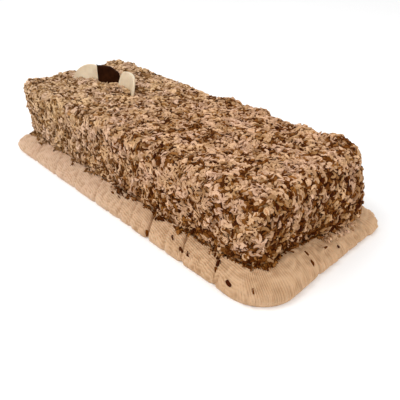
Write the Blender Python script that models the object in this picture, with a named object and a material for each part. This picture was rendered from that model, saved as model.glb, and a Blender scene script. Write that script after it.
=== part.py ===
"""Nougat torte: a loaf-shaped torte coated in nougat cream and chocolate
shavings, with a border of cream piped round its foot. Three chocolate pieces
stand on its top: two white petals, with a dark tile between them.

Metres, +Z up. The origin is in the middle of the torte's flat underside. +X
runs along the torte, and the three pieces stand near its -X end.
"""
import math
import random

import bmesh
import bpy
from mathutils import Matrix, Vector, noise
from mathutils.bvhtree import BVHTree

# Torte: the block of cake with its coat.
TORTE_LENGTH = 0.3015      # at the foot
TORTE_WIDTH = 0.1140       # at the foot
TORTE_HEIGHT = 0.0635
BELLY = 0.0020             # by which the walls stand out over the foot
BELLY_RISE = 0.009         # height over which they do
PLAN_RADIUS = 0.0125       # upright corners
EDGE_RADIUS = (0.006, 0.012)   # edge between the sides and the top, at -X and at +X
PLAIN_FOOT = 0.0138        # height of the even wall that the cream border hides
PLAIN_MARGIN = 1.3         # by how much more than the heaped border the even wall rises
OVERHANG = 0.0150          # height above which the coat may lie out over the border
CORNER_STEPS = 3
GRID_STEP = 0.0085         # between the coat's other points

# Relief of the coat.
LUMP_SPACING = 0.045
LUMP_HEIGHT = 0.0018
DAB_SPACING = 0.017
DAB_HEIGHT = 0.0014
DAB_SHIFT = Vector((7.3, 1.9, 4.1))    # keeps the dabs from following the lumps
RELIEF_FADE = 0.008        # height over which the relief sets in above the foot
RAISED_FOOT = (0.034, 0.054)   # heights between which the raised places set in
# Places where the coat's top edge is thicker, or thinner: place, height and reach.
RAISED_PLACES = (((-0.143, 0.047), 0.0024, 0.022), ((-0.122, 0.052), 0.0036, 0.018),
                 ((-0.147, -0.042), 0.0022, 0.024), ((-0.147, -0.012), 0.0024, 0.024),
                 ((-0.147, 0.018), 0.0020, 0.020), ((0.021, 0.054), 0.0034, 0.015),
                 ((0.056, 0.054), 0.0028, 0.012), ((0.099, 0.053), 0.0026, 0.018),
                 ((0.131, 0.051), 0.0036, 0.020), ((0.153, 0.056), -0.0038, 0.012))
SPILL_SPACING = 0.015      # of the places where the coat's foot spills outwards
SPILL_DEPTH = 0.0030
SPILL_TOP = 0.026          # height at which the spill has faded out
HEAP = Vector((0.150, 0.040))              # where shavings heap up against the foot
HEAP_DEPTH = 0.0085
HEAP_REACH = 0.042
HEAP_TOP = 0.052

# Shavings: the largest ones, lying on the coat.
SHAVING_LENGTH = (0.0062, 0.0092)
SHAVING_WIDTH = (0.0019, 0.0027)
SHAVING_RISE = (0.0011, 0.0019)
SHAVING_DEPTH = 0.0011     # by which it sinks into the coat
SHAVING_TIP_RISE = 0.25    # share of the rise left at the two ends
SHAVING_TAPER = 0.35       # share of the width lost at the two ends
SHAVING_BEND = 0.35        # largest bend to a side, as a share of the width
SHAVING_STEPS = 4
SHAVING_SPACING = 0.0220
SHAVING_MARGIN = 0.2       # share of its cell that a shaving keeps free at each side
SHAVING_CLEARANCE = 0.004  # to the border below and to the pieces on top
SHAVING_SEED = 11

# Cream border, piped in overlapping strokes. A seam between two of them takes a
# share of the width: it is given with the place of its outer end.
BORDER_END_WIDTH = (0.0140, 0.0200)    # at the -X end and at the +X end
BORDER_FRONT_WIDTH = (0.0202, 0.0172)  # along the front, at -X and at +X
BORDER_BACK_WIDTH = 0.0107             # along the back
BORDER_CORNER_FILL = (0.0005, 0.0056)  # extra width of the +X corners, at -Y and at +Y
BORDER_HEIGHT = 0.0122
BORDER_LOW_END = 0.25                  # share of the height lost at the -X end
BORDER_RISE = 0.0065                   # extra height where the border is heaped up
BORDER_RISE_PLACE = Vector((0.150, -0.034))
BORDER_RISE_REACH = 0.048
BORDER_MIDDLE = 0.0100                 # from the torte's wall to the middle line
BORDER_DRIFT = (0.04, 0.05)            # shares by which its width and height drift
BORDER_DRIFT_SPACING = 0.036
BORDER_DRIFT_SHIFT = Vector((0, 0, 3.7))   # picks the drift's layer of noise
FRONT_SEAMS = ((-0.109, 0.07), (-0.073, 0.06), (-0.041, 0.05), (-0.009, 0.07),
               (0.010, 0.05), (0.025, 0.06), (0.039, 0.07), (0.060, 0.17),
               (0.079, 0.05), (0.097, 0.11), (0.128, 0.09))    # places along X
END_SEAMS = ((-0.051, 0.06), (-0.040, 0.05), (-0.029, 0.06), (-0.015, 0.05), (-0.002, 0.04),
             (0.010, 0.06), (0.029, 0.06), (0.044, 0.05))      # places along Y, at the +X end
HIDDEN_SEAM_SPACING = (0.018, 0.030)   # round the far sides
HIDDEN_SEAM_SHARE = (0.04, 0.09)
SEAM_REACH = 0.0035        # to either side of a seam
SEAM_DIP = 0.9             # share of the height lost for each share of the width
STROKE_LEAN = 0.010        # how far a stroke's outer edge runs ahead, on the long sides
STATION_SPACING = 0.0085   # most there may be between two stations
BORDER_SEED = 5

# Chocolate pieces on top: middle of the foot, and the direction of the foot.
PIECE_SINK = 0.0030
TILE_PLACE = Vector((-0.0935, 0.0055))
TILE_HEADING = math.radians(25)
TILE_FOOT = 0.0250
TILE_TOP = 0.0219
TILE_HEIGHT = 0.0155
TILE_THICKNESS = 0.0032
TILE_LEAN = math.radians(14)
TILE_SHIFT = 0.0035        # by which its top is set off towards -X
TILE_CHIP = (0.0090, 0.0048)   # broken off its +X top corner, along and down
TILE_CORNER = 0.0012
TILE_CORNER_STEPS = 2
TILE_RIM = 0.0006          # bevel round its two faces
SPUR_LENGTH = 0.0052
SPUR_RADIUS = (0.0013, 0.0003)         # at the tile and at the tip
SPUR_SIDES = 6
SPUR_TILT = math.radians(-62)
SPUR_REACH = 0.0022        # from the tile's upper corner to the spur's middle
SPUR_DROP = 0.0008         # of the spur's middle below the tile's top
PETAL_THICKNESS = 0.0020
PETAL_TIP_HEIGHT = 0.0012
PETAL_STEPS = (12, 5)      # along the foot and up
LEFT_PETAL = {
    "place": Vector((-0.119, -0.004)),
    "heading": math.radians(34),
    "length": 0.030,
    "height": 0.0140,
    "lean": 0.30,
    "cup": 0.0034,
    "crest": 0.25,
    "powers": (2.0, 2.8),  # towards -X and +X; 2 makes the crown's outline an ellipse
}
RIGHT_PETAL = {
    "place": Vector((-0.0632, 0.0015)),
    "heading": math.radians(-12),
    "length": 0.032,
    "height": 0.0168,
    "lean": 0.25,
    "cup": 0.0036,
    "crest": -0.20,
    "powers": (5.0, 2.8),
}

GAP = 0.0003               # between neighbouring pieces
POCKET_GROWTH = 0.0005     # by which a pocket is larger than its piece

MERGE_DISTANCE = 1e-6
CREASE_ANGLE = math.radians(45)

# Colour and roughness of each material.
FINISHES = {
    "coat": ((0.36, 0.20, 0.11), 0.65),
    "cream": ((0.60, 0.40, 0.27), 0.55),
    "dark_chocolate": ((0.020, 0.008, 0.005), 0.35),
    "white_chocolate": ((0.72, 0.58, 0.38), 0.45),
}


def clear_scene():
    """Start with no objects."""
    for old in list(bpy.data.objects):
        bpy.data.objects.remove(old)


def food_material(name):
    """A food surface: coloured, never metallic."""
    colour, roughness = FINISHES[name]
    material = bpy.data.materials.new(name)
    material.use_nodes = True
    shader = material.node_tree.nodes["Principled BSDF"]
    shader.inputs["Base Color"].default_value = (*colour, 1.0)
    shader.inputs["Roughness"].default_value = roughness
    shader.inputs["Metallic"].default_value = 0.0
    material.diffuse_color = (*colour, 1.0)
    return material


def mesh_object(name, bm, material=None):
    """Turn a bmesh into an object, with its faces pointing outwards."""
    bmesh.ops.recalc_face_normals(bm, faces=bm.faces)
    mesh = bpy.data.meshes.new(name)
    bm.to_mesh(mesh)
    bm.free()
    if material is not None:
        mesh.materials.append(material)
    piece = bpy.data.objects.new(name, mesh)
    bpy.context.scene.collection.objects.link(piece)
    return piece


def round_off(piece):
    """Smooth shading, with the sharper creases kept."""
    piece.data.shade_smooth()
    piece.data.set_sharp_from_angle(angle=CREASE_ANGLE)


def cut_across(bm, axis, place):
    """Cut every face where it crosses a plane at a place along an axis."""
    bmesh.ops.bisect_plane(bm, geom=bm.verts[:] + bm.edges[:] + bm.faces[:],
                           plane_co=axis * place, plane_no=axis, dist=MERGE_DISTANCE)


def apply_modifiers(piece):
    """Put the shape that the modifiers make into the piece's own mesh."""
    graph = bpy.context.evaluated_depsgraph_get()
    mesh = bpy.data.meshes.new_from_object(piece.evaluated_get(graph))
    piece.modifiers.clear()
    piece.data = mesh


def combine(piece, others, operation):
    """Union or difference of a piece with a group of shapes, which go after it."""
    group = bpy.data.collections.new("group")
    bpy.context.scene.collection.children.link(group)
    for other in others:
        group.objects.link(other)
    modifier = piece.modifiers.new("combine", "BOOLEAN")
    modifier.operation = operation
    modifier.operand_type = "COLLECTION"
    modifier.collection = group
    apply_modifiers(piece)
    for other in others:
        bpy.data.objects.remove(other)
    bpy.data.collections.remove(group)


# --- Torte -----------------------------------------------------------------

def outline_distance(x, y):
    """Signed distance from the torte's plan outline, and the way out of it."""
    beyond = Vector((abs(x) - (TORTE_LENGTH / 2 - PLAN_RADIUS),
                     abs(y) - (TORTE_WIDTH / 2 - PLAN_RADIUS)))
    outside = Vector((max(beyond.x, 0.0), max(beyond.y, 0.0)))
    distance = outside.length + min(max(beyond), 0.0) - PLAN_RADIUS
    if outside.length > 0:
        way = outside.normalized()
    else:
        way = Vector((1.0, 0.0)) if beyond.x > beyond.y else Vector((0.0, 1.0))
    return distance, Vector((math.copysign(way.x, x), math.copysign(way.y, y)))


def edge_radius(x):
    """Radius of the top edge, which is softer towards the +X end."""
    share = min(1.0, max(0.0, x / TORTE_LENGTH + 0.5))
    return EDGE_RADIUS[0] + (EDGE_RADIUS[1] - EDGE_RADIUS[0]) * share


def to_disc(first, second):
    """Move a point of a square's quarter so that the square's rim becomes an arc."""
    span = math.hypot(first, second)
    scale = max(first, second) / span if span > 0 else 1.0
    return first * scale, second * scale


def border_rise(place):
    """Extra height of the border round the place where it is heaped up."""
    near = max(0.0, 1.0 - (place - BORDER_RISE_PLACE).length / BORDER_RISE_REACH)
    return BORDER_RISE * near * near * (3 - 2 * near)


def plain_foot(place):
    """Height of the even wall that the border hides at a place."""
    return PLAIN_FOOT + PLAIN_MARGIN * border_rise(place)


def belly(above_foot):
    """How far the wall stands out over the foot, at a height above the even wall."""
    share = min(1.0, max(0.0, above_foot / BELLY_RISE))
    return BELLY * share * share * (3 - 2 * share)


def rounded(point):
    """Move a point of the sharp-edged block to the block with round edges."""
    x, y, z = point
    flat_x = TORTE_LENGTH / 2 - PLAN_RADIUS
    flat_y = TORTE_WIDTH / 2 - PLAN_RADIUS
    if abs(x) > flat_x and abs(y) > flat_y:
        out_x, out_y = to_disc(abs(x) - flat_x, abs(y) - flat_y)
        x = math.copysign(flat_x + out_x, x)
        y = math.copysign(flat_y + out_y, y)
    distance, way = outline_distance(x, y)
    radius = edge_radius(x)
    out = radius + distance
    up = z - (TORTE_HEIGHT - radius)
    if out > 0 and up > 0:
        new_out, new_up = to_disc(out, up)
        x += way.x * (new_out - out)
        y += way.y * (new_out - out)
        z += new_up - up
    swell = 2 * belly(z - plain_foot(Vector((x, y))))
    return Vector((x * (1 + swell / TORTE_LENGTH), y * (1 + swell / TORTE_WIDTH), z))


def side_cuts(half_side):
    """Places of the cuts across one side: close at the corners, even between."""
    flat = half_side - PLAN_RADIUS
    corner = [flat + PLAN_RADIUS * step / CORNER_STEPS for step in range(1, CORNER_STEPS)]
    count = round(2 * flat / GRID_STEP)
    even = [-flat + 2 * flat * step / count for step in range(count + 1)]
    return [-cut for cut in reversed(corner)] + even + corner


def height_cuts():
    """Places of the cuts up the wall: the foot, even steps, the round edge."""
    radius = max(EDGE_RADIUS)
    shoulder = TORTE_HEIGHT - radius
    count = round((shoulder - OVERHANG) / GRID_STEP)
    even = [OVERHANG + (shoulder - OVERHANG) * step / count for step in range(count + 1)]
    round_edge = [shoulder + radius * step / CORNER_STEPS for step in range(1, CORNER_STEPS)]
    return [PLAIN_FOOT] + even + round_edge


def relief(point):
    """Height of the spread coat's lumps above its mean surface."""
    lumps = noise.noise(point / LUMP_SPACING)
    dabs = noise.noise(point / DAB_SPACING + DAB_SHIFT)
    set_in = min(1.0, max(0.0, (point.z - plain_foot(point.xy)) / RELIEF_FADE))
    spread = LUMP_HEIGHT * lumps + DAB_HEIGHT * dabs + raised_places(point)
    return set_in * spread + foot_spill(point)


def raised_places(point):
    """How much thicker the coat is at the places along its top edge."""
    high = (point.z - RAISED_FOOT[0]) / (RAISED_FOOT[1] - RAISED_FOOT[0])
    raised = 0.0
    for place, height, reach in RAISED_PLACES:
        near = max(0.0, 1.0 - (point.xy - Vector(place)).length / reach)
        raised += height * near * near * (3 - 2 * near)
    return raised * min(1.0, max(0.0, high))


def foot_spill(point):
    """How far the coat's foot lies out over the border, beside and at the heap."""
    if point.z < (PLAIN_FOOT + OVERHANG) / 2:
        return 0.0
    low = max(0.0, 1.0 - (point.z - OVERHANG) / (SPILL_TOP - OVERHANG))
    flat = 1.0 - border_rise(point.xy) / BORDER_RISE
    spill = SPILL_DEPTH * low * flat * max(0.0, noise.noise(point / SPILL_SPACING))
    near = max(0.0, 1.0 - (point.xy - HEAP).length / HEAP_REACH)
    under = max(0.0, 1.0 - (point.z - OVERHANG) / (HEAP_TOP - OVERHANG))
    return spill + HEAP_DEPTH * under * near * (2 - near)


def torte_block(material):
    """The coated block, with round edges, a lumpy coat and a flat underside."""
    bm = bmesh.new()
    bmesh.ops.create_cube(bm, size=1.0, matrix=Matrix.Diagonal(
        (TORTE_LENGTH, TORTE_WIDTH, TORTE_HEIGHT, 1.0)))
    bmesh.ops.translate(bm, verts=bm.verts, vec=(0, 0, TORTE_HEIGHT / 2))
    cuts = [(Vector((1, 0, 0)), side_cuts(TORTE_LENGTH / 2)),
            (Vector((0, 1, 0)), side_cuts(TORTE_WIDTH / 2)),
            (Vector((0, 0, 1)), height_cuts())]
    for axis, places in cuts:
        for place in places:
            cut_across(bm, axis, place)
    underside = [face for face in bm.faces if face.normal.z < -0.5]
    bmesh.ops.dissolve_faces(bm, faces=underside)
    for vert in bm.verts:
        vert.co = rounded(vert.co)
    bm.normal_update()
    moves = [(vert, vert.normal * relief(vert.co)) for vert in bm.verts]
    for vert, move in moves:
        vert.co += move
    bmesh.ops.triangulate(bm, faces=bm.faces)
    return mesh_object("torte", bm, material)


# --- Shavings --------------------------------------------------------------

def shaving(draw):
    """One shaving: a strip arched along its length, its underside level."""
    length = draw.uniform(*SHAVING_LENGTH)
    width = draw.uniform(*SHAVING_WIDTH)
    rise = draw.uniform(*SHAVING_RISE)
    bend = draw.uniform(-SHAVING_BEND, SHAVING_BEND)
    bm = bmesh.new()
    bmesh.ops.create_cube(bm, size=1.0)
    for step in range(1, SHAVING_STEPS):
        cut_across(bm, Vector((1, 0, 0)), step / SHAVING_STEPS - 0.5)
    for vert in bm.verts:
        along = 2 * vert.co.x
        arch = 1 - along * along
        taper = 1 - SHAVING_TAPER * along * along
        top = rise * (SHAVING_TIP_RISE + (1 - SHAVING_TIP_RISE) * arch)
        vert.co = Vector((vert.co.x * length,
                          vert.co.y * width * taper + bend * width * arch,
                          top if vert.co.z > 0 else -SHAVING_DEPTH))
    return bm


def lay_on(bm, place, normal, turn):
    """Turn a shape so that +Z is the surface's way out, and put it there."""
    facing = normal.to_track_quat("Z", "Y").to_matrix().to_4x4()
    bm.transform(Matrix.Translation(place) @ facing @ Matrix.Rotation(turn, 4, "Z"))


def jittered(low, high, draw):
    """Evenly spread places from low to high, each moved a little in its cell."""
    count = max(1, round((high - low) / SHAVING_SPACING))
    cell = (high - low) / count
    return [low + cell * (step + draw.uniform(SHAVING_MARGIN, 1 - SHAVING_MARGIN))
            for step in range(count)]


def shaving_rays(draw):
    """Rays that meet the coat where the shavings lie, on the top and the sides."""
    half_x, half_y = TORTE_LENGTH / 2 + BELLY, TORTE_WIDTH / 2 + BELLY
    far = 2 * TORTE_LENGTH
    floor = PLAIN_FOOT + SHAVING_CLEARANCE
    rays = []
    for cell_x in jittered(-half_x, half_x, draw):
        for y in jittered(-half_y, half_y, draw):
            x = cell_x + draw.uniform(-SHAVING_MARGIN, SHAVING_MARGIN) * SHAVING_SPACING
            rays.append((Vector((x, y, far)), Vector((0, 0, -1))))
        for side in (-1, 1):
            for z in jittered(floor, TORTE_HEIGHT, draw):
                rays.append((Vector((cell_x, side * far, z)), Vector((0, -side, 0))))
    for side in (-1, 1):
        for y in jittered(-half_y, half_y, draw):
            for z in jittered(floor, TORTE_HEIGHT, draw):
                rays.append((Vector((side * far, y, z)), Vector((-side, 0, 0))))
    return rays


def clear_of_pieces(place):
    """Whether a shaving at this place keeps off the pieces on top."""
    feet = [(TILE_PLACE, TILE_FOOT)]
    feet += [(petal["place"], petal["length"]) for petal in (LEFT_PETAL, RIGHT_PETAL)]
    return all((place.xy - foot).length > size / 2 + SHAVING_CLEARANCE for foot, size in feet)


def scatter_shavings(torte):
    """Shavings laid on the torte's coat, spread evenly."""
    draw = random.Random(SHAVING_SEED)
    surface = bmesh.new()
    surface.from_mesh(torte.data)
    tree = BVHTree.FromBMesh(surface)
    surface.free()
    shavings = []
    for start, way in shaving_rays(draw):
        place, normal, _, _ = tree.ray_cast(start, way)
        turn = draw.uniform(0, math.tau)
        if place is None or not clear_of_pieces(place):
            continue
        if place.z < plain_foot(place.xy) + SHAVING_CLEARANCE:
            continue
        bm = shaving(draw)
        lay_on(bm, place, normal, turn)
        shavings.append(mesh_object("shaving", bm))
    return shavings


# --- Cream border ----------------------------------------------------------

def foot_path(distance):
    """Where the border is at a distance along its middle line, and the way out there.

    The place is on the plan's inner rectangle, whose corners are the middles of
    the torte's round corners.
    """
    flat_x = TORTE_LENGTH - 2 * PLAN_RADIUS
    flat_y = TORTE_WIDTH - 2 * PLAN_RADIUS
    middle = PLAN_RADIUS + BORDER_MIDDLE
    arc = middle * math.pi / 2
    distance %= 2 * (flat_x + flat_y) + 4 * arc
    start = Vector((-flat_x / 2, -flat_y / 2))
    heading = 0.0
    for flat in (flat_x, flat_y, flat_x, flat_y):
        ahead = Vector((math.cos(heading), math.sin(heading)))
        out = Vector((ahead.y, -ahead.x))
        if distance <= flat:
            return start + ahead * distance, out
        start += ahead * flat
        distance -= flat
        if distance <= arc:
            angle = heading + distance / middle - math.pi / 2
            return start, Vector((math.cos(angle), math.sin(angle)))
        distance -= arc
        heading += math.pi / 2
    return start, out


def border_width(x, out):
    """Width of the border: wide at the +X end, narrowing along the front, slim behind."""
    if out.y < 0:
        share = x / TORTE_LENGTH + 0.5
        side = BORDER_FRONT_WIDTH[0] + (BORDER_FRONT_WIDTH[1] - BORDER_FRONT_WIDTH[0]) * share
    else:
        side = BORDER_BACK_WIDTH
    end = BORDER_END_WIDTH[1] if out.x > 0 else BORDER_END_WIDTH[0]
    fill = BORDER_CORNER_FILL[0] if out.y < 0 else BORDER_CORNER_FILL[1]
    corner = 2 * max(0.0, out.x) * abs(out.y)
    return end * out.x * out.x + side * out.y * out.y + fill * corner


def border_length():
    """Length of the border's middle line, once round."""
    flats = 2 * (TORTE_LENGTH + TORTE_WIDTH - 4 * PLAN_RADIUS)
    return flats + math.tau * (PLAN_RADIUS + BORDER_MIDDLE)


def border_section():
    """Border's cross-section: share of the width out, share of the height up."""
    return [(0.00, 0.00), (0.00, 0.90), (0.08, 1.00), (0.30, 0.98), (0.54, 0.89),
            (0.76, 0.75), (0.92, 0.56), (1.00, 0.32), (0.94, 0.00)]


def border_seams():
    """Distance along the border, and share of the width lost, at each seam."""
    flat_x = TORTE_LENGTH - 2 * PLAN_RADIUS
    flat_y = TORTE_WIDTH - 2 * PLAN_RADIUS
    end_middle = flat_x + (border_length() / 2 - flat_x - flat_y) + flat_y / 2
    seams = [(flat_x / 2 + x - STROKE_LEAN, share) for x, share in FRONT_SEAMS]
    seams += [(end_middle + y, share) for y, share in END_SEAMS]
    draw = random.Random(BORDER_SEED)
    last = seams[0][0] + border_length() - HIDDEN_SEAM_SPACING[0]
    distance = seams[-1][0] + draw.uniform(*HIDDEN_SEAM_SPACING)
    while distance < last:
        seams.append((distance, draw.uniform(*HIDDEN_SEAM_SHARE)))
        distance += draw.uniform(*HIDDEN_SEAM_SPACING)
    return seams


def border_stations(seams):
    """Distance along the border, and share of the width lost, at each station."""
    places = [place for place, _ in seams] + [seams[0][0] + border_length()]
    stations = []
    for (place, share), after in zip(seams, places[1:]):
        stations.append((place, share))
        between = after - place - 2 * SEAM_REACH
        count = max(1, math.ceil(between / STATION_SPACING))
        stations += [(place + SEAM_REACH + between * step / count, 0.0)
                     for step in range(count + 1)]
    return stations


def cream_border(material):
    """Ring of overlapping strokes: the section swept round the torte's foot."""
    section = border_section()
    stations = border_stations(border_seams())
    bm = bmesh.new()
    bmesh.ops.create_grid(bm, x_segments=len(stations), y_segments=len(section), size=1.0)
    for vert in bm.verts:
        station = round((vert.co.x + 1) / 2 * len(stations)) % len(stations)
        point = round((vert.co.y + 1) / 2 * len(section)) % len(section)
        distance, notch = stations[station]
        out, up = section[point]
        middle, across = foot_path(distance)
        drift = noise.noise(middle.to_3d() / BORDER_DRIFT_SPACING + BORDER_DRIFT_SHIFT)
        place, way = foot_path(distance + STROKE_LEAN * out * across.y ** 2)
        width = border_width(place.x, way) * (1 - notch + BORDER_DRIFT[0] * drift)
        lower = SEAM_DIP * notch + BORDER_LOW_END * max(0.0, -way.x) ** 2
        height = BORDER_HEIGHT * (1 - lower + BORDER_DRIFT[1] * drift)
        inner = place + way * (PLAN_RADIUS + GAP)
        spot = inner + way * out * (width - GAP)
        vert.co = (spot.x, spot.y, up * height + up * up * border_rise(inner))
    bmesh.ops.remove_doubles(bm, verts=bm.verts, dist=MERGE_DISTANCE)
    bmesh.ops.triangulate(bm, faces=bm.faces)
    border = mesh_object("cream_border", bm, material)
    round_off(border)


# --- Chocolate pieces ------------------------------------------------------

def stand_on(piece, torte, place, heading):
    """Stand a piece on the torte's top, its foot along the heading."""
    above = (place.x, place.y, 2 * TORTE_HEIGHT)
    _, spot, _, _ = torte.ray_cast(above, (0, 0, -1))
    piece.data.transform(Matrix.Translation(spot) @ Matrix.Rotation(heading, 4, "Z"))


def chocolate_tile(material):
    """Dark tile: a leaning plate with a corner broken off and a thin spur."""
    bm = bmesh.new()
    bmesh.ops.create_cube(bm, size=1.0, matrix=Matrix.Diagonal(
        (TILE_FOOT, TILE_THICKNESS, TILE_HEIGHT + PIECE_SINK, 1.0)))
    along, down = TILE_CHIP
    break_place = Vector((TILE_FOOT / 2 - along, 0, (TILE_HEIGHT + PIECE_SINK) / 2))
    bmesh.ops.bisect_plane(bm, geom=bm.verts[:] + bm.edges[:] + bm.faces[:],
                           plane_co=break_place, plane_no=(down, 0, along), clear_outer=True)
    bmesh.ops.holes_fill(bm, edges=bm.edges)
    corners = [edge for edge in bm.edges
               if abs(edge.verts[0].co.y - edge.verts[1].co.y) > TILE_THICKNESS / 2]
    bmesh.ops.bevel(bm, geom=corners, offset=TILE_CORNER, offset_type="OFFSET",
                    segments=TILE_CORNER_STEPS, profile=0.5, affect="EDGES", material=-1)
    bm.normal_update()
    rims = [edge for edge in bm.edges
            if len({abs(face.normal.y) > 0.5 for face in edge.link_faces}) == 2]
    bmesh.ops.bevel(bm, geom=rims, offset=TILE_RIM, offset_type="OFFSET", segments=1,
                    profile=0.5, affect="EDGES", material=-1)
    bmesh.ops.translate(bm, verts=bm.verts, vec=(0, 0, (TILE_HEIGHT - PIECE_SINK) / 2))
    for vert in bm.verts:
        up = vert.co.z / TILE_HEIGHT
        vert.co.x *= 1 + (TILE_TOP / TILE_FOOT - 1) * max(up, 0.0)
        vert.co.x -= TILE_SHIFT * up
        vert.co.y += math.tan(TILE_LEAN) * vert.co.z
    tile = mesh_object("dark_chocolate_tile", bm, material)
    combine(tile, [tile_spur()], "UNION")
    round_off(tile)
    return tile


def tile_spur():
    """Thin point of chocolate that runs on from the tile's upper corner."""
    bm = bmesh.new()
    bmesh.ops.create_cone(bm, cap_ends=True, segments=SPUR_SIDES, radius1=SPUR_RADIUS[0],
                          radius2=SPUR_RADIUS[1], depth=SPUR_LENGTH)
    up = TILE_HEIGHT - SPUR_DROP
    place = Vector((-TILE_TOP / 2 - SPUR_REACH, math.tan(TILE_LEAN) * up, up))
    bm.transform(Matrix.Translation(place) @ Matrix.Rotation(SPUR_TILT, 4, "Y"))
    return mesh_object("spur", bm)


def petal(name, shape, material):
    """White chocolate petal: a thin cupped fan that stands on its straight edge."""
    bm = bmesh.new()
    bmesh.ops.create_grid(bm, x_segments=PETAL_STEPS[0], y_segments=PETAL_STEPS[1], size=1.0)
    for vert in bm.verts:
        along, across = vert.co.x, (vert.co.y + 1) / 2
        crest = shape["crest"]
        side = 1 if along > crest else 0
        swing = abs(along - crest) / (1 - crest if side else 1 + crest)
        crown = shape["height"] * math.sqrt(max(0.0, 1 - swing ** shape["powers"][side]))
        crown = max(crown, PETAL_TIP_HEIGHT)
        z = -PIECE_SINK + across * (crown + PIECE_SINK)
        hollow = shape["cup"] * (1 - along * along)
        vert.co = (along * shape["length"] / 2, shape["lean"] * z + hollow, z)
    bmesh.ops.recalc_face_normals(bm, faces=bm.faces)
    piece = mesh_object(name, bm, material)
    wall = piece.modifiers.new("wall", "SOLIDIFY")
    wall.thickness = PETAL_THICKNESS
    wall.offset = 0.0
    wall.use_even_offset = True
    apply_modifiers(piece)
    round_off(piece)
    return piece


def pocket(piece):
    """A slightly larger copy of a piece, which cuts the hollow that it stands in."""
    bm = bmesh.new()
    bm.from_mesh(piece.data)
    moves = [(vert, vert.normal * POCKET_GROWTH) for vert in bm.verts]
    for vert, move in moves:
        vert.co += move
    return mesh_object("pocket", bm)


def main():
    clear_scene()
    torte = torte_block(food_material("coat"))
    shavings = scatter_shavings(torte)
    cream_border(food_material("cream"))

    ivory = food_material("white_chocolate")
    tile = chocolate_tile(food_material("dark_chocolate"))
    stand_on(tile, torte, TILE_PLACE, TILE_HEADING)
    pieces = [tile]
    for name, shape in (("left_petal", LEFT_PETAL), ("right_petal", RIGHT_PETAL)):
        piece = petal(name, shape, ivory)
        stand_on(piece, torte, shape["place"], shape["heading"])
        pieces.append(piece)

    combine(torte, shavings, "UNION")
    combine(torte, [pocket(piece) for piece in pieces], "DIFFERENCE")
    round_off(torte)


main()
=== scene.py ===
"""Looks of a nougat torte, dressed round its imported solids.

Metres, +Z up, in the frame of the solids: the origin is in the middle of the
torte's flat underside, +X runs along the torte, and its front faces -Y.
"""
import math
import random

import bmesh
import bpy
import numpy as np
from mathutils import Matrix, Vector, noise


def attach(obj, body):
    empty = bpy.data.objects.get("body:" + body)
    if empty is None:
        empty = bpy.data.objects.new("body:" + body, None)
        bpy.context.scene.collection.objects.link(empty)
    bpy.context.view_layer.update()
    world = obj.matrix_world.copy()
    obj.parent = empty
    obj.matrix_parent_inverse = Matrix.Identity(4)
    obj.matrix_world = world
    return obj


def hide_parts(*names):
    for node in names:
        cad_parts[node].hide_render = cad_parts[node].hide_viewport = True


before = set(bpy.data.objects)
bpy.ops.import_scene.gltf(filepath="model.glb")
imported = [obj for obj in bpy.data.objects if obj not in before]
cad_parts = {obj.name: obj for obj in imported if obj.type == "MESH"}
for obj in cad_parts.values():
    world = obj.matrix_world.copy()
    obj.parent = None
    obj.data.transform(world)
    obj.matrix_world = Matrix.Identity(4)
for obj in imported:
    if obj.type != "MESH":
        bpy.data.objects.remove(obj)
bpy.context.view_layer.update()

# Torte: the block with its coat, as in the solid.
TORTE_LENGTH = 0.3015  # at the foot
TORTE_WIDTH = 0.1140  # at the foot
TORTE_HEIGHT = 0.0635
BELLY = 0.0020  # by which the walls stand out over the foot
BELLY_RISE = 0.009
PLAN_RADIUS = 0.0125  # upright corners
FLAT_X = TORTE_LENGTH - 2 * PLAN_RADIUS  # of the sides between the corners
FLAT_Y = TORTE_WIDTH - 2 * PLAN_RADIUS
EDGE_RADIUS = (0.006, 0.012)  # edge between the sides and the top, at -X and at +X
PLAIN_FOOT = 0.0138  # height of the even wall behind the cream border
PLAIN_MARGIN = 1.3  # by how much more than the heaped border the even wall rises
OVERHANG = 0.0150  # height above which the coat may lie out over the border
CORNER_STEPS = 3
GRID_STEP = 0.0085
LUMP_SPACING = 0.045
LUMP_HEIGHT = 0.0018
DAB_SPACING = 0.017
DAB_HEIGHT = 0.0014
DAB_SHIFT = Vector((7.3, 1.9, 4.1))
RELIEF_FADE = 0.008
RAISED_FOOT = (0.034, 0.054)
RAISED_PLACES = (((-0.143, 0.047), 0.0024, 0.022), ((-0.122, 0.052), 0.0036, 0.018),
                 ((-0.147, -0.042), 0.0022, 0.024), ((-0.147, -0.012), 0.0024, 0.024),
                 ((-0.147, 0.018), 0.0020, 0.020), ((0.021, 0.054), 0.0034, 0.015),
                 ((0.056, 0.054), 0.0028, 0.012), ((0.099, 0.053), 0.0026, 0.018),
                 ((0.131, 0.051), 0.0036, 0.020), ((0.153, 0.056), -0.0038, 0.012))
SPILL_SPACING = 0.015
SPILL_DEPTH = 0.0030
SPILL_TOP = 0.026
HEAP = Vector((0.150, 0.040))
HEAP_DEPTH = 0.0085
HEAP_REACH = 0.042
HEAP_TOP = 0.052

# Finer relief of the coat, which the solid leaves out.
COAT_CUTS = 6  # finer cuts within each step of the grid
COAT_INSET = 0.0017  # by which the shavings make up the coat's thickness
CLUMP_SPACING = (0.0043, 0.0100)
CLUMP_SHARE = (1.0, 0.65)
CLUMP_SHIFT = (Vector((5.0, 5.0, 5.0)), Vector((3.4, 8.7, 1.2)))
CLUMP_HEIGHT = 0.0009
# The coat's cream grows brown towards +X for chocolate dust, and browner in the low clumps, the
# relief's hollows: there it is also painted shade in the pockets between the shavings.
BROWN_REACH = (-0.13, 0.06)  # along X, where the coat's cream grows brown
BROWN_CLUMPS = (0.25, -0.20)  # clump field between which it does so
BROWN_LEAST = 0.35  # on the palest clumps

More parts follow.
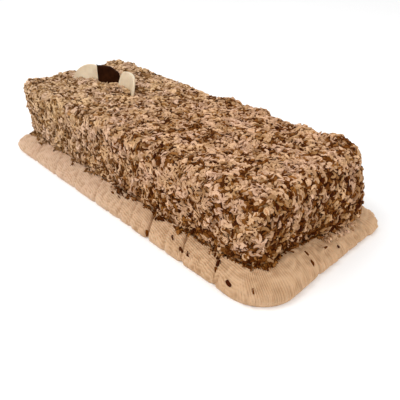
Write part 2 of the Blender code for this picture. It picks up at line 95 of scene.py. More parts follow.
# How the shavings lie, from -X to +X and from the foot up.
TOWARD_END = (-0.15, 0.13)
LOW_WALL = (0.016, 0.042)
BARE_FADE = (0.35, 1.15)  # shares of a bare patch's reach
FOOT_FADE = 0.0020  # height in which the shavings set in over the bare foot
FOOT_MARGIN = 0.0010  # of the bare foot over the border
FOOT_DROP = 0.0012  # of that margin at the -X end, where the border is low
FOOT_RISE = 1.25  # by how much more than the heaped border it rises
FOOT_UNEVEN = 0.0045
FOOT_SPACING = 0.009

# Shavings: how many of each kind, their size, how far each bends round, how it tilts, and
# its lift over the coat. "clumps" are the values of the clump field between which
# "clumped" grows from 0 to 1. The density at a place is the product of the weighted sums.
# The end_wall weights lay more dark and fewer pale shavings on the wall that faces +X: partly
# denser dark shavings there, partly painted shade for the weaker light on that wall.
SHAVING_KINDS = {
    "dark_shavings": {
        "count": 6900, "seed": 21, "length": (0.0028, 0.0054), "width": (0.0014, 0.0025),
        "thickness": 0.0006, "bend": (0.2, 1.6), "tilt": 0.30, "lift": (-0.0001, 0.0010),
        "steps": 3, "slot": "dark_chocolate", "clumps": (0.10, -0.25),
        "density": ({"even": 0.60, "clumped": 0.70, "clumped_at_end": 0.60, "toward_end": 0.45,
                     "low_at_end": 0.70, "end_wall": 0.30},
                    {"even": 1.0, "bare": -0.85})},
    "milk_shavings": {
        "count": 6400, "seed": 22, "length": (0.0032, 0.0060), "width": (0.0015, 0.0027),
        "thickness": 0.0006, "bend": (0.2, 1.8), "tilt": 0.30, "lift": (0.0000, 0.0009),
        "steps": 3, "slot": "shaved_coat", "clumps": (0.20, -0.20),
        "density": ({"even": 0.35, "toward_end": 0.45, "clumped": 0.35},
                    {"even": 1.0, "bare": -0.60})},
    "pale_shavings": {
        "count": 5200, "seed": 23, "length": (0.0034, 0.0062), "width": (0.0018, 0.0031),
        "thickness": 0.0006, "bend": (0.2, 1.6), "tilt": 0.30, "lift": (0.0001, 0.0010),
        "steps": 3, "slot": "shaved_coat", "clumps": (-0.25, 0.20),
        "density": ({"even": 0.25, "clumped": 0.75},
                    {"even": 1.0, "end_wall": -0.15, "low_at_end": -0.55},
                    {"even": 1.0, "bare": 0.20})},
    "pale_curls": {
        "count": 2700, "seed": 26, "length": (0.0048, 0.0082), "width": (0.0015, 0.0023),
        "thickness": 0.0007, "bend": (2.0, 4.2), "tilt": 0.40, "lift": (0.0005, 0.0014),
        "steps": 6, "slot": "shaved_coat", "clumps": (-0.15, 0.25),
        "density": ({"even": 0.15, "clumped": 0.80},
                    {"even": 1.0, "low": -0.45, "end_wall": -0.20},
                    {"even": 0.35, "toward_end": 0.65})},
}
SHAVING_TAPER = (0.05, 0.50)  # share of the width lost at the two ends
SHAVING_TWIST = 0.9  # from end to end, and also the most that it stands on edge
SHAVING_ARCH = (-0.05, 0.22)  # share of the length
SHADE_MIDDLE = 0.5
SHADE_SPREAD = 0.4  # from one shaving to the next
SHADE_BY_CLUMP = 0.6
# Painted shade: shavings on the wall that faces +X are darker, for the weaker light on that
# wall.
PAINTED_END_WALL_SHADE = -0.3
RICH_REACH = (-0.14, 0.07)  # along X, where the chocolate grows red-brown
RICH_SPREAD = 0.2
# Where the cream shows between fewer shavings: place and reach.
BARE_PATCHES = (((-0.010, -0.050, 0.064), 0.020), ((-0.104, -0.059, 0.054), 0.013),
                ((-0.080, -0.059, 0.056), 0.010), ((-0.062, -0.059, 0.047), 0.009),
                ((0.050, -0.059, 0.056), 0.009), ((0.086, -0.059, 0.059), 0.011),
                ((0.105, -0.059, 0.055), 0.008), ((-0.148, -0.040, 0.060), 0.010))
CRUMB_COUNT = 5000
CRUMB_SEED = 24
CRUMB_SIZE = (0.0005, 0.0013)
CRUMB_LIFT = (0.0, 0.0006)

# Fallen shavings: the kind that each is like, its size, and how far it bends round.
FALLEN_KINDS = {
    "curls_by_pieces": {"like": "pale_shavings", "length": (0.0036, 0.0060),
                        "width": (0.0014, 0.0024), "bend": (0.6, 2.6)},
    "spilled_dark": {"like": "dark_shavings", "length": (0.0022, 0.0048),
                     "width": (0.0010, 0.0020), "bend": (0.3, 2.4)},
    "spilled_milk": {"like": "milk_shavings", "length": (0.0024, 0.0050),
                     "width": (0.0012, 0.0024), "bend": (0.3, 2.4)},
    "spilled_curls": {"like": "pale_shavings", "length": (0.0040, 0.0070),
                      "width": (0.0012, 0.0020), "bend": (1.5, 4.0)},
    "border_flakes": {"like": "dark_shavings", "length": (0.0034, 0.0052),
                      "width": (0.0016, 0.0026), "bend": (0.2, 1.0)},
}
FALLEN = {"steps": 4, "thickness": 0.0006, "tilt": 0.4}  # what all share
FALLEN_LIFT = (0.0003, 0.0008)  # of its middle over what it lies on
# Curls in front of the tile, the left and the right petal: how many, their highest lift,
# and how far along the foot they lie.
FOOT_CURLS = ((26, 0.0024, 1.0), (20, 0.0020, 1.0), (44, 0.0042, 0.5))
FOOT_CURL_SEED = 27
FOOT_CURL_LIFT = 0.0008  # the lowest lift
FOOT_CURL_REACH = (0.0022, 0.0040)  # of their middles from the piece's foot
# Along the coat's foot: how many lie there, where, and how far out they reach.
SPILL_SEED = 25
DARK_SPILL_COUNT = 500
MILK_SPILL_COUNT = 440
PALE_SPREAD_COUNT = 130
SPILL_CLUMP_SPACING = 0.010
SPILL_NEAR_END = (0.02, 0.13)
SPILL_CHANCE = {"even": 0.04, "clump": 1.8, "heap": 0.7, "near_end": 0.15}
SPILL_REACH = {"even": 0.0016, "clump": 0.0075, "heap": 0.0045}
SPILL_START = 0.0006
SPILL_FALL_OFF = 1.3
DARK_HEAPS = ((0.009, -0.0600), (0.060, -0.0605))
DARK_HEAP_COUNT = 22
DARK_HEAP_REACH = 0.0022
PALE_SPILL = ((0.1550, 0.1630), (0.004, 0.040))  # where pale curls lie, in X and Y
PALE_SPILL_COUNT = 60
# Flakes of chocolate farther out on the border.
BORDER_FLAKES = ((0.1399, -0.0719), (0.1550, -0.0676), (0.1459, -0.0577), (0.1014, -0.0710),
                 (0.0942, -0.0701), (0.0823, -0.0678), (0.0765, -0.0610), (0.0586, -0.0727),
                 (0.1249, -0.0654), (0.1254, -0.0686), (0.1541, -0.0294), (0.1598, -0.0203),
                 (0.1662, -0.0221), (0.1703, -0.0107), (0.1664, 0.0092), (0.1625, -0.0020),
                 (-0.0600, -0.0640), (-0.1180, -0.0650), (0.0130, -0.0650))

# Cream border, as in the solid, with its ribs.
BORDER_END_WIDTH = (0.0140, 0.0200)
BORDER_FRONT_WIDTH = (0.0202, 0.0172)
BORDER_BACK_WIDTH = 0.0107
BORDER_CORNER_FILL = (0.0005, 0.0056)
BORDER_HEIGHT = 0.0122
BORDER_LOW_END = 0.25
BORDER_RISE = 0.0065
BORDER_RISE_PLACE = Vector((0.150, -0.034))
BORDER_RISE_REACH = 0.048
BORDER_MIDDLE = 0.0100
BORDER_LENGTH = 2 * (FLAT_X + FLAT_Y) + math.tau * (PLAN_RADIUS + BORDER_MIDDLE)
BORDER_DRIFT = (0.04, 0.05)
BORDER_DRIFT_SPACING = 0.036
BORDER_DRIFT_SHIFT = Vector((0, 0, 3.7))
FRONT_SEAMS = ((-0.109, 0.07), (-0.073, 0.06), (-0.041, 0.05), (-0.009, 0.07),
               (0.010, 0.05), (0.025, 0.06), (0.039, 0.07), (0.060, 0.17),
               (0.079, 0.05), (0.097, 0.11), (0.128, 0.09))  # places along X
END_SEAMS = ((-0.051, 0.06), (-0.040, 0.05), (-0.029, 0.06), (-0.015, 0.05), (-0.002, 0.04),
             (0.010, 0.06), (0.029, 0.06), (0.044, 0.05))  # places along Y, at the +X end
HIDDEN_SEAM_SPACING = (0.018, 0.030)
HIDDEN_SEAM_SHARE = (0.04, 0.09)
SEAM_REACH = 0.0035
SEAM_DIP = 0.9
STROKE_LEAN = 0.010
BORDER_SEED = 5
GAP = 0.0003
BORDER_STATIONS = 1640  # round the whole border
BORDER_SECTION_STEPS = 8  # between two points of the section
CREVICE_REACH = 0.0007  # half the width of the line between two strokes
CREVICE_DEPTH = 0.0014  # of the line at a seam that takes CREVICE_SHARE of the width
CREVICE_SHARE = 0.1
CREVICE_EASE = 0.6  # share of the depth lost at the outer edge
RIB_SPACING = 0.0018  # of the ribs that run along the long sides
RIB_DRIFT = 0.23  # by which they run outwards, for each step along
RIB_HEIGHT = 0.00042
RIB_SHIFT = 0.37  # share of a rib by which each stroke is off the last
FAN_SPACING = 0.0017  # of the ribs that run out across the ends
FAN_HEIGHT = 0.00052
FAN_SHIFT = 0.2
FAN_TURN = (0.1, 0.6)  # of the way out's X, where the one kind turns into the other
TOOTH_SPACING = 0.0030
TOOTH_HEIGHT = 0.0018  # of the ragged outer edge
TOOTH_SHIFT = 0.03
RIB_END = 0.0005  # by which a rib's end stands out across the ends
RIPPLE_SPACING = 0.0034
RIPPLE_HEIGHT = 0.0009
EDGE_BAND = (0.55, 1.0)  # shares of the width where the outer edge's teeth grow
INNER_BAND = (0.02, 0.12)  # shares of the width where the relief sets in
LOWER_BAND = (0.0, 0.3)  # the same, of the height
GROOVE_SHADE_WEIGHTS = {"even": 0.4, "rib": -0.5, "ripple": -0.9, "crevice": 2.0}  # how much painted shade each part of the relief gets, most in the crevices

# Chocolate pieces on top, as in the solids.
PIECE_SINK = 0.0030
TILE_PLACE = Vector((-0.0935, 0.0055))
TILE_HEADING = math.radians(25)
TILE_FOOT = 0.0250
TILE_TOP = 0.0219
TILE_HEIGHT = 0.0155
TILE_THICKNESS = 0.0032
TILE_LEAN = math.radians(14)
TILE_SHIFT = 0.0035
TILE_CHIP = (0.0090, 0.0048)
TILE_CORNER = 0.0012
TILE_RIM = 0.0006
SPUR_LENGTH = 0.0052
SPUR_RADIUS = (0.0013, 0.0003)
SPUR_TILT = math.radians(-62)
SPUR_REACH = 0.0022
SPUR_DROP = 0.0008
PETAL_THICKNESS = 0.0020
PETAL_TIP_HEIGHT = 0.0012
PETAL_STEPS = (64, 20)
PETALS = {
    "left_petal": {"place": Vector((-0.119, -0.004)), "heading": math.radians(34),
                   "length": 0.030, "height": 0.0140, "lean": 0.30, "cup": 0.0034,
                   "crest": 0.25, "powers": (2.0, 2.8)},
    "right_petal": {"place": Vector((-0.0632, 0.0015)), "heading": math.radians(-12),
                    "length": 0.032, "height": 0.0168, "lean": 0.25, "cup": 0.0036,
                    "crest": -0.20, "powers": (5.0, 2.8)},
}
# Middle, heading, length and cup of the foot of each piece.
PIECE_FEET = [(TILE_PLACE, TILE_HEADING, TILE_FOOT, 0.0)]
PIECE_FEET += [[shape[key] for key in ("place", "heading", "length", "cup")]
               for shape in PETALS.values()]
PIECE_CLEARANCE = 0.0022  # from a piece's foot to the middle of a shaving
PIECE_REACH = 1.05  # share of the foot's length that is kept clear

# Finishes: linear colours, sizes of their marbling and grain, and how far light goes in.
CREAM_MARBLING = 0.011
CREAM_BLUSH = 0.035
CREAM_BLUSH_SHARE = 0.4
CREAM_DUST_AND_SHADE = 0.0035
CREAM_GRAIN = (0.0016, 0.00025, 3.0)
CREAM_SOFTNESS = (0.12, (1.0, 0.6, 0.35))
COAT_CREAM = {"light": (0.60, 0.40, 0.24), "shade": (0.46, 0.29, 0.15),
              "warm": (0.55, 0.35, 0.21),
              "dust_and_pocket_shade": ((0.12, 0.040, 0.008), (0.33, 0.150, 0.050))}
# The groove shade tint is painted shade: it darkens the cream in the valleys of the ribs and
# ripples and in the crevices between strokes.
BORDER_CREAM = {"light": (0.630, 0.438, 0.298), "shade": (0.550, 0.365, 0.235),
                "warm": (0.615, 0.405, 0.290),
                "tray_glow": ((0.515, 0.318, 0.176), (0.603, 0.390, 0.232)),
                "groove_shade_tint": (0.78, 0.73, 0.67)}
TRAY_GLOW_REACH = (-0.06, 0.11)  # along X, where painted orange light reflected from the tray warms the border's cream
# Each kind's soft colours, from dark to light, and its rich ones.
SHAVING_COLOURS = {
    "dark_shavings": (((0.074, 0.029, 0.006), (0.208, 0.099, 0.033)),
                      ((0.045, 0.008, 0.001), (0.145, 0.042, 0.004))),
    "milk_shavings": (((0.238, 0.124, 0.044), (0.475, 0.286, 0.140)),
                      ((0.125, 0.035, 0.003), (0.330, 0.140, 0.033))),
    "pale_shavings": (((0.380, 0.236, 0.120), (0.715, 0.520, 0.350)),
                      ((0.315, 0.168, 0.070), (0.720, 0.475, 0.305))),
}
TINT_PATCH = 0.016  # of the patches a little yellower or pinker
TINTS = ((1.03, 1.00, 0.88), (0.98, 0.97, 1.07))
SHAVING_GRAIN = (0.0007, 0.0001)
SPECKLE_SIZE = 0.0011
SPECKLES = ((0.78, 0.76, 0.74), (1.12, 1.10, 1.08))
TILE_CHOCOLATE = {"colours": ((0.013, 0.003, 0.0006), (0.030, 0.008, 0.0020)),
                  "span": (0.35, 0.7), "size": 0.006, "grain": (0.0012, 0.00008),
                  "roughness": 0.6, "specular": 0.02}
PETAL_CHOCOLATE = {"colours": ((0.62, 0.48, 0.32), (0.75, 0.62, 0.44)), "span": (0.3, 0.7),
                   "size": 0.008, "grain": (0.0015, 0.0001), "roughness": 0.42}
PETAL_SOFTNESS = (0.2, (1.0, 0.7, 0.4))
FLOOR_WHITE = ((0.94, 0.94, 0.94), (0.96, 0.96, 0.96))

MERGE_DISTANCE = 1e-6


# --- Helpers ---

def added(name, data):
    """A new object of the scene."""
    thing = bpy.data.objects.new(name, data)
    bpy.context.scene.collection.objects.link(thing)
    return thing


def own_values(mesh, label, values):
    """Give each vertex of a mesh a value that its material can read."""
    own = mesh.attributes.new(label, "FLOAT", "POINT")
    own.data.foreach_set("value", values.astype(np.float32))


def mesh_object(name, bm, material):
    """Turn a bmesh into a smooth object, with its faces pointing outwards."""
    bmesh.ops.recalc_face_normals(bm, faces=bm.faces)
    mesh = bpy.data.meshes.new(name)
    bm.to_mesh(mesh)
    bm.free()
    mesh.materials.append(material)
    mesh.shade_smooth()
    return added(name, mesh)


def dress(piece, node):
    """Let a piece ride with the torte, in place of the solid it stands for."""
    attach(piece, "root")
    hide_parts(node)


def cut_across(bm, place, way, **settings):
    bmesh.ops.bisect_plane(bm, geom=bm.verts[:] + bm.edges[:] + bm.faces[:], plane_co=place,
                           plane_no=way, dist=MERGE_DISTANCE, **settings)


def block(*size):
    """A new bmesh with a sharp-edged block of this size round the origin."""
    bm = bmesh.new()
    bmesh.ops.create_cube(bm, size=1.0, matrix=Matrix.Diagonal((*size, 1.0)))
    return bm


def way_at(angle):
    return Vector((math.cos(angle), math.sin(angle)))


def clamped(share):
    return min(1.0, max(0.0, share))


def eased(share):
    """A share from 0 to 1 that sets in and ends softly."""
    share = clamped(share)
    return share * share * (3 - 2 * share)


def smooth_step(low, high, values):
    """The same between two values, for one or for a whole array."""
    share = np.clip((values - low) / (high - low), 0.0, 1.0)
    return share * share * (3 - 2 * share)


def between(pair, share):
    return pair[0] + (pair[1] - pair[0]) * share


def weighted(weights, found):
    return sum(weight * found[thing] for thing, weight in weights.items())


# --- Materials ---

class Finish:
    """A material: a Principled shader and the nodes that feed it."""

    def __init__(self, name, roughness, specular=0.5):
        self.material = bpy.data.materials.new(name)
        self.material.use_nodes = True
        self.tree = self.material.node_tree
        self.shader = self.tree.nodes["Principled BSDF"]
        self.feed(self.shader, {"Roughness": roughness, "Metallic": 0.0,
                                "Specular IOR Level": specular})
        self.place = self.tree.nodes.new("ShaderNodeTexCoord").outputs["Object"]

    def feed(self, node, inputs):
        """Link each input of a node from a socket, or set it to a value."""
        for key, source in inputs.items():
            if isinstance(source, bpy.types.NodeSocket):
                self.tree.links.new(source, node.inputs[key])
            else:
                node.inputs[key].default_value = source

    def node(self, kind, inputs, **settings):
        made = self.tree.nodes.new(kind)
        for key, value in settings.items():
            setattr(made, key, value)
        self.feed(made, inputs)
        return made

    def noise(self, size, detail):
        """Noise whose features are about this size, from 0 to 1."""
        inputs = {"Vector": self.place, "Scale": 1.0 / size, "Detail": detail,
                  "Roughness": 0.55}
        return self.node("ShaderNodeTexNoise", inputs).outputs["Fac"]

    def along(self, low, high):
        """Share that grows from 0 to 1 between two places along X."""
        split = self.node("ShaderNodeSeparateXYZ", {"Vector": self.place})
        inputs = {"Value": split.outputs["X"], "From Min": low, "From Max": high}
        return self.node("ShaderNodeMapRange", inputs,
                         interpolation_type="SMOOTHSTEP").outputs["Result"]

    def attribute(self, name):
        return self.node("ShaderNodeAttribute", {}, attribute_name=name).outputs["Fac"]

    def ramp(self, source, colours, span=(0.0, 1.0)):
        """From the first colour to the second, between two values."""
        made = self.node("ShaderNodeValToRGB", {"Fac": source})
        for point, at, colour in zip(made.color_ramp.elements, span, colours):
            point.position = at
            point.color = (*colour, 1.0)
        return made.outputs["Color"]

    def marbled(self, size, colours, span=(0.32, 0.62), detail=4.0):
        """Two colours in patches of about this size."""
        return self.ramp(self.noise(size, detail), colours, span)

    def mix(self, share, first, second, blend="MIX"):
        return self.node("ShaderNodeMix", {0: share, 6: first, 7: second},
                         data_type="RGBA", blend_type=blend).outputs[2]

    def colour(self, source):
        self.feed(self.shader, {"Base Color": source})

    def grain(self, size, depth, detail=2.0):
        """Bumps of about this size and depth."""
        made = self.node("ShaderNodeBump", {"Distance": depth,
                                            "Height": self.noise(size, detail)})
        self.feed(self.shader, {"Normal": made.outputs["Normal"]})

    def soft_inside(self, share, reach):
        """Let this share of the light in, to 1.5 mm times the reach of each colour."""
        self.feed(self.shader, {"Subsurface Weight": share, "Subsurface Radius": reach,
                                "Subsurface Scale": 0.0015})


def cream_finish(name, light, shade, warm, dust_and_pocket_shade=None, tray_glow=None, groove_shade_tint=None):
    """Whipped nougat cream: matt, faintly marbled, with a soft sheen of fat."""
    finish = Finish(name, 0.62, 0.15)
    cream = finish.mix(CREAM_BLUSH_SHARE, finish.marbled(CREAM_MARBLING, (shade, light)),
                       finish.marbled(CREAM_BLUSH, (warm, light), (0.35, 0.65), 2.0))
    # Chocolate dust, and painted shade in the pockets between the shavings, where the coat's
    # brown attribute says.
    if dust_and_pocket_shade:
        dust_and_shade = finish.marbled(CREAM_DUST_AND_SHADE, dust_and_pocket_shade, (0.35, 0.65), 3.0)
        cream = finish.mix(finish.attribute("brown"), cream, dust_and_shade)
    # Painted reflection of the orange tray's light: the cream grows warmer towards +X.
    if tray_glow:
        cream = finish.mix(finish.along(*TRAY_GLOW_REACH), cream,
                           finish.marbled(CREAM_MARBLING, tray_glow))
    # Painted shade: the cream darkens towards the groove shade tint in the relief's valleys and
    # crevices.
    if groove_shade_tint:
        depth = finish.ramp(finish.attribute("groove_shade"), ((1.0, 1.0, 1.0), groove_shade_tint), (0.25, 1.0))
        cream = finish.mix(1.0, cream, depth, "MULTIPLY")
    finish.colour(cream)
    finish.grain(*CREAM_GRAIN)
    finish.soft_inside(*CREAM_SOFTNESS)
    return finish.material


def shaving_finish(name, soft, rich):
    """Grated chocolate: each shaving has its own shade, richer towards one end."""
    finish = Finish(name, 0.7, 0.03)
    shade = finish.attribute("shade")
    own = finish.mix(finish.attribute("richness"), finish.ramp(shade, soft),
                     finish.ramp(shade, rich))
    for size, colours, span in ((TINT_PATCH, TINTS, (0.36, 0.64)),
                                (SPECKLE_SIZE, SPECKLES, (0.3, 0.7))):
        own = finish.mix(1.0, own, finish.marbled(size, colours, span, 2.0), "MULTIPLY")
    finish.colour(own)
    finish.grain(*SHAVING_GRAIN)
    return finish.material


def chocolate_finish(name, colours, span, size, grain, roughness, specular=0.5):
    """Moulded chocolate: smooth, and faintly marbled."""
    finish = Finish(name, roughness, specular)
    finish.colour(finish.marbled(size, colours, span))
    finish.grain(*grain)
    return finish


# --- Coat ---

def outline_distance(x, y):
    """Signed distance from the torte's plan outline, and the way out of it."""
    beyond = Vector((abs(x) - FLAT_X / 2, abs(y) - FLAT_Y / 2))
    outside = Vector((max(beyond.x, 0.0), max(beyond.y, 0.0)))
    distance = outside.length + min(max(beyond), 0.0) - PLAN_RADIUS
    if outside.length > 0:
        way = outside.normalized()
    else:
        way = Vector((1.0, 0.0)) if beyond.x > beyond.y else Vector((0.0, 1.0))
    return distance, Vector((math.copysign(way.x, x), math.copysign(way.y, y)))


def to_disc(first, second):
    """Move a point of a square's quarter so that the square's rim becomes an arc."""
    span = math.hypot(first, second)
    scale = max(first, second) / span if span > 0 else 1.0
    return first * scale, second * scale


def border_rise(place):
    """Extra height of the border round the place where it is heaped up."""
    return BORDER_RISE * eased(1.0 - (place - BORDER_RISE_PLACE).length / BORDER_RISE_REACH)


def plain_foot(place):
    """Height of the even wall that the border hides at a place."""
    return PLAIN_FOOT + PLAIN_MARGIN * border_rise(place)


def rounded(point):
    """Move a point of the sharp-edged block to the block with round edges."""
    x, y, z = point
    beyond_x, beyond_y = abs(x) - FLAT_X / 2, abs(y) - FLAT_Y / 2
    if beyond_x > 0 and beyond_y > 0:
        out_x, out_y = to_disc(beyond_x, beyond_y)
        x = math.copysign(FLAT_X / 2 + out_x, x)
        y = math.copysign(FLAT_Y / 2 + out_y, y)
    distance, way = outline_distance(x, y)
    radius = between(EDGE_RADIUS, clamped(x / TORTE_LENGTH + 0.5))
    out = radius + distance
    up = z - (TORTE_HEIGHT - radius)
    if out > 0 and up > 0:
        new_out, new_up = to_disc(out, up)
        x += way.x * (new_out - out)
        y += way.y * (new_out - out)
        z += new_up - up
    swell = 2 * BELLY * eased((z - plain_foot(Vector((x, y)))) / BELLY_RISE)
    return Vector((x * (1 + swell / TORTE_LENGTH), y * (1 + swell / TORTE_WIDTH), z))


def side_cuts(flat):
    """Places across a side whose even part is this long."""
    corner = [flat / 2 + PLAN_RADIUS * step / CORNER_STEPS for step in range(1, CORNER_STEPS)]
    count = round(flat / GRID_STEP)
    even = [flat * (step / count - 0.5) for step in range(count + 1)]
    return [-cut for cut in reversed(corner)] + even + corner


def height_cuts():
    radius = max(EDGE_RADIUS)
    shoulder = TORTE_HEIGHT - radius
    count = round((shoulder - OVERHANG) / GRID_STEP)
    even = [between((OVERHANG, shoulder), step / count) for step in range(count + 1)]
    round_edge = [shoulder + radius * step / CORNER_STEPS for step in range(1, CORNER_STEPS)]
    return [PLAIN_FOOT] + even + round_edge


def foot_spill(point):
    """How far the coat's foot lies out over the border, beside and at the heap."""
    set_in = clamped((point.z - PLAIN_FOOT) / (OVERHANG - PLAIN_FOOT))
    low = max(0.0, 1.0 - (point.z - OVERHANG) / (SPILL_TOP - OVERHANG))
    flat = 1.0 - border_rise(point.xy) / BORDER_RISE
    spill = SPILL_DEPTH * low * flat * max(0.0, noise.noise(point / SPILL_SPACING))
    near = max(0.0, 1.0 - (point.xy - HEAP).length / HEAP_REACH)
    under = max(0.0, 1.0 - (point.z - OVERHANG) / (HEAP_TOP - OVERHANG))
    return set_in * (spill + HEAP_DEPTH * under * near * (2 - near))


def clump_field(point):
    """Where shavings heap up pale, above 0, or sink dark, below 0."""
    return sum(share * noise.noise(point / spacing + shift)
               for spacing, share, shift in zip(CLUMP_SPACING, CLUMP_SHARE, CLUMP_SHIFT))


def clump_fields(points):
    return np.array([clump_field(Vector(point)) for point in points])


def relief(point):
    """Height of the spread coat's lumps above its mean surface."""
    lumps = noise.noise(point / LUMP_SPACING)
    dabs = noise.noise(point / DAB_SPACING + DAB_SHIFT)
    set_in = clamped((point.z - plain_foot(point.xy)) / RELIEF_FADE)
    spread = LUMP_HEIGHT * lumps + DAB_HEIGHT * dabs + raised_places(point)
    rough = CLUMP_HEIGHT * clump_field(point) - COAT_INSET
    return set_in * (spread + rough) + foot_spill(point)


def raised_places(point):
    """How much thicker the coat is at the places along its top edge."""
    raised = sum(height * eased(1.0 - (point.xy - Vector(place)).length / reach)
                 for place, height, reach in RAISED_PLACES)
    return raised * clamped((point.z - RAISED_FOOT[0]) / (RAISED_FOOT[1] - RAISED_FOOT[0]))


def cream_coat(material):
    """The coated block, lumpy and crumbed, with a flat underside."""
    bm = block(TORTE_LENGTH, TORTE_WIDTH, TORTE_HEIGHT)
    bmesh.ops.translate(bm, verts=bm.verts, vec=(0, 0, TORTE_HEIGHT / 2))
    for axis, places in (((1, 0, 0), side_cuts(FLAT_X)), ((0, 1, 0), side_cuts(FLAT_Y)),
                         ((0, 0, 1), height_cuts())):
        for place in places:
            cut_across(bm, Vector(axis) * place, axis)
    underside = [face for face in bm.faces if face.normal.z < -0.5]
    bmesh.ops.dissolve_faces(bm, faces=underside)
    bmesh.ops.subdivide_edges(bm, edges=bm.edges[:], cuts=COAT_CUTS, use_grid_fill=True)
    for vert in bm.verts:
        vert.co = rounded(vert.co)
    bm.normal_update()
    moves = [(vert, vert.normal * relief(vert.co)) for vert in bm.verts]
    for vert, move in moves:
        vert.co += move
    coat = mesh_object("cream_coat", bm, material)
    places = np.array([vert.co for vert in coat.data.vertices])
    # Browner towards +X and most in the low clumps, the relief's hollows: chocolate dust, and
    # painted shade in the pockets there.
    clumped = smooth_step(*BROWN_CLUMPS, clump_fields(places))
    brown = between((BROWN_LEAST, 1.0), clumped) * smooth_step(*BROWN_REACH, places[:, 0])
    own_values(coat.data, "brown", brown)
    return coat


# --- Shavings ---

def surface_triangles(piece):
    """Corners, middles, areas and ways out of a piece's triangles."""
    mesh = piece.data
    mesh.calc_loop_triangles()
    places = np.array([vert.co for vert in mesh.vertices])
    triangles = places[np.array([triangle.vertices for triangle in mesh.loop_triangles])]
    across = np.cross(triangles[:, 1] - triangles[:, 0], triangles[:, 2] - triangles[:, 0])
    double = np.linalg.norm(across, axis=1)
    return triangles, triangles.mean(axis=1), double / 2, across / double[:, None]


def scattered(surface, count, thickly, draw):
    """Places on a surface and the ways out there, spread as the density says."""
    triangles, _, areas, ways = surface
    running = np.cumsum(areas * thickly)
    picks = (np.arange(count) + draw.random(count)) / count * running[-1]
    found = np.searchsorted(running, picks)
    first, second = draw.random(count), draw.random(count)
    flip = first + second > 1
    first[flip], second[flip] = 1 - first[flip], 1 - second[flip]
    chosen = triangles[found]
    spots = (chosen[:, 0] + first[:, None] * (chosen[:, 1] - chosen[:, 0])
             + second[:, None] * (chosen[:, 2] - chosen[:, 0]))
    keep = clear_of_pieces(spots)
    return spots[keep], ways[found][keep]


def as_arrays(bm):
    """Places and faces of a small closed shape."""
    bmesh.ops.recalc_face_normals(bm, faces=bm.faces)
    verts = np.array([vert.co for vert in bm.verts])
    faces = np.array([[vert.index for vert in face.verts] for face in bm.faces])
    bm.free()
    return verts, faces


def curl_strip(steps):
    """A strip of length, width and thickness 1, cut along its length."""
    bm = block(1.0, 1.0, 1.0)
    for step in range(1, steps):
        cut_across(bm, (step / steps - 0.5, 0, 0), (1, 0, 0))
    return as_arrays(bm)


def curled(strip, length, width, thickness, bend, draw):
    """Shavings in their own frames: each a strip bent round, some on edge, some lying."""
    count = len(length)
    along = strip[None, :, 0]
    taper = 1 - draw.uniform(*SHAVING_TAPER, count)[:, None] * (2 * along) ** 2
    side = strip[None, :, 1] * width[:, None] * taper
    up = strip[None, :, 2] * thickness
    twist = draw.uniform(-SHAVING_TWIST, SHAVING_TWIST, count)[:, None] * along
    on_edge = draw.uniform(0.0, SHAVING_TWIST, count)[:, None] + twist
    side, up = (side * np.cos(on_edge) - up * np.sin(on_edge),
                side * np.sin(on_edge) + up * np.cos(on_edge))
    bend = (bend * draw.choice((-1.0, 1.0), count))[:, None]
    radius = length[:, None] / bend
    ahead = (radius - side) * np.sin(bend * along)
    aside = radius - (radius - side) * np.cos(bend * along)
    arch = draw.uniform(*SHAVING_ARCH, count)[:, None] * length[:, None]
    up = up + arch * (1 - (2 * along) ** 2) - arch / 2
    aside = aside - aside.mean(axis=1, keepdims=True)
    return np.stack([ahead, aside, up], axis=2)


def tilted(shapes, draw, most):
    """Tip each shape a little about its own two level axes."""
    pitch = draw.uniform(-most, most, len(shapes))[:, None]
    roll = draw.uniform(-most, most, len(shapes))[:, None]
    x, y, z = shapes[:, :, 0], shapes[:, :, 1], shapes[:, :, 2]
    x, z = x * np.cos(pitch) + z * np.sin(pitch), z * np.cos(pitch) - x * np.sin(pitch)
    y, z = y * np.cos(roll) - z * np.sin(roll), z * np.cos(roll) + y * np.sin(roll)
    return np.stack([x, y, z], axis=2)


def laid_on(shapes, spots, ways, lift, draw):
    """Put shapes on a surface: their +Z along its way out, turned at random."""
    loose = draw.normal(size=ways.shape)
    ahead = np.cross(ways, loose)
    ahead /= np.linalg.norm(ahead, axis=1)[:, None]
    aside = np.cross(ways, ahead)
    base = spots + ways * lift[:, None]
    return (base[:, None, :] + shapes[:, :, 0:1] * ahead[:, None, :]
            + shapes[:, :, 1:2] * aside[:, None, :] + shapes[:, :, 2:3] * ways[:, None, :])


def richness(places, draw):
    """How red-brown the chocolate looks: soft at the -X end, rich at the +X end."""
    own = draw.uniform(-RICH_SPREAD, RICH_SPREAD, len(places))
    return np.clip(smooth_step(*RICH_REACH, places[:, 0]) + own, 0, 1)


def joined(name, places, faces, shade, rich, material):
    """One mesh of many small shapes, each with its own shade and richness."""
    count, verts = places.shape[:2]
    corners = faces[None, :, :] + (np.arange(count) * verts)[:, None, None]
    mesh = bpy.data.meshes.new(name)
    mesh.from_pydata(places.reshape(-1, 3).tolist(), [],
                     corners.reshape(-1, faces.shape[1]).tolist())
    for label, values in (("shade", shade), ("richness", rich)):
        own_values(mesh, label, np.repeat(values, verts))
    mesh.materials.append(material)
    mesh.shade_flat()
    return added(name, mesh)


